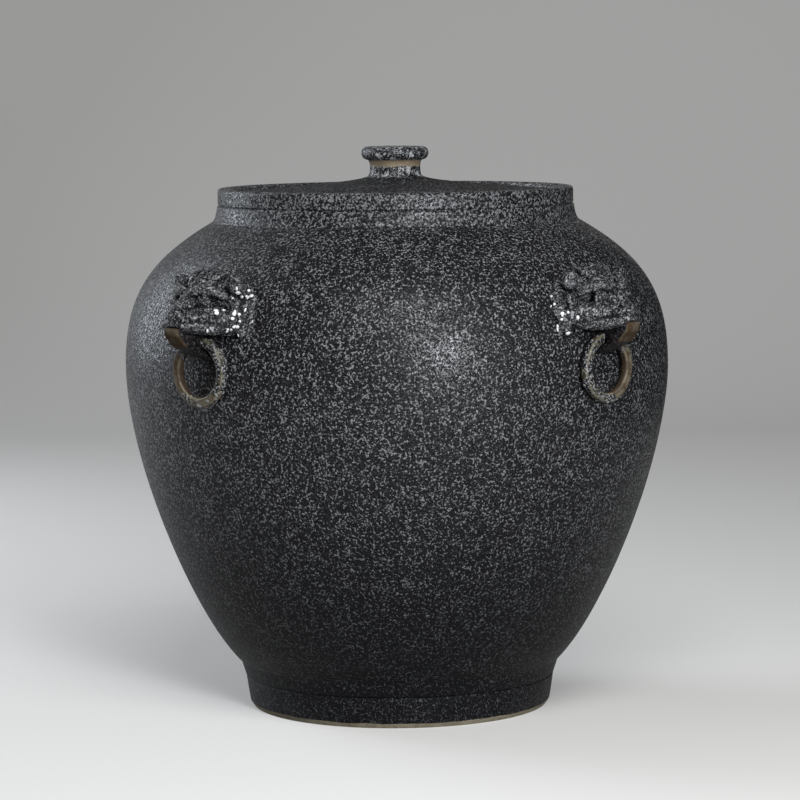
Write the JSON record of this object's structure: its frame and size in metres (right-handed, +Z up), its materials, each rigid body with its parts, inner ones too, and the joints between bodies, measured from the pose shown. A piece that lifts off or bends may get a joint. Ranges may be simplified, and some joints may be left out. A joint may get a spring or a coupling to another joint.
{
  "type": "water seal pickle jar",
  "caption": "Broad-shouldered dark stoneware pickle jar with a water gutter round its mouth, a lid with a knob standing in the gutter, and lion masks holding loose rings.",
  "frame": {"origin": "middle of the underside of the foot, on the surface that the jar stands on", "axes": "+Z up along the jar's axis; -Y is the front, midway between the two front masks; +X is the viewer's right"},
  "size_m": [0.35, 0.35, 0.361],
  "materials": {
    "dark_glaze": "matte charcoal stoneware glaze with fine raised pale grey speckles",
    "bare_clay": "bare buff stoneware clay with patches of dark speckled glaze"
  },
  "bodies": {
    "jar": {"foot_ring": "dark_glaze", "floor_slab": "dark_glaze", "lower_wall": "dark_glaze", "upper_wall": "dark_glaze", "gutter_wall": "dark_glaze", "mouth_collar": "dark_glaze", "front_left_mask": "dark_glaze", "front_right_mask": "dark_glaze", "rear_left_mask": "dark_glaze", "rear_right_mask": "dark_glaze", "front_left_tongue": "bare_clay", "front_right_tongue": "bare_clay", "rear_left_tongue": "bare_clay", "rear_right_tongue": "bare_clay"},
    "lid": {"lid_plate": "dark_glaze", "lid_skirt": "dark_glaze", "knob_stem": "bare_clay", "knob": "dark_glaze"},
    "ring_front_left": {"front_left_ring": "bare_clay"},
    "ring_front_right": {"front_right_ring": "bare_clay"},
    "ring_rear_left": {"rear_left_ring": "bare_clay"},
    "ring_rear_right": {"rear_right_ring": "bare_clay"}
  },
  "joints": [
    {"name": "lid_lift", "type": "slide", "parent": "jar", "child": "lid", "axis": [0, 0, 1], "range_m": [0, 0.16]},
    {"name": "front_left_swing", "type": "hinge", "parent": "jar", "child": "ring_front_left", "pos_m": [-0.1239, -0.13057, 0.246], "axis": [-0.7254, 0.6884, 0], "range_deg": [-2, 80]},
    {"name": "front_right_swing", "type": "hinge", "parent": "jar", "child": "ring_front_right", "pos_m": [0.1239, -0.13057, 0.246], "axis": [-0.7254, -0.6884, 0], "range_deg": [-2, 80]},
    {"name": "rear_left_swing", "type": "hinge", "parent": "jar", "child": "ring_rear_left", "pos_m": [-0.1239, 0.13057, 0.246], "axis": [0.7254, 0.6884, 0], "range_deg": [-2, 80]},
    {"name": "rear_right_swing", "type": "hinge", "parent": "jar", "child": "ring_rear_right", "pos_m": [0.1239, 0.13057, 0.246], "axis": [0.7254, -0.6884, 0], "range_deg": [-2, 80]}
  ]
}
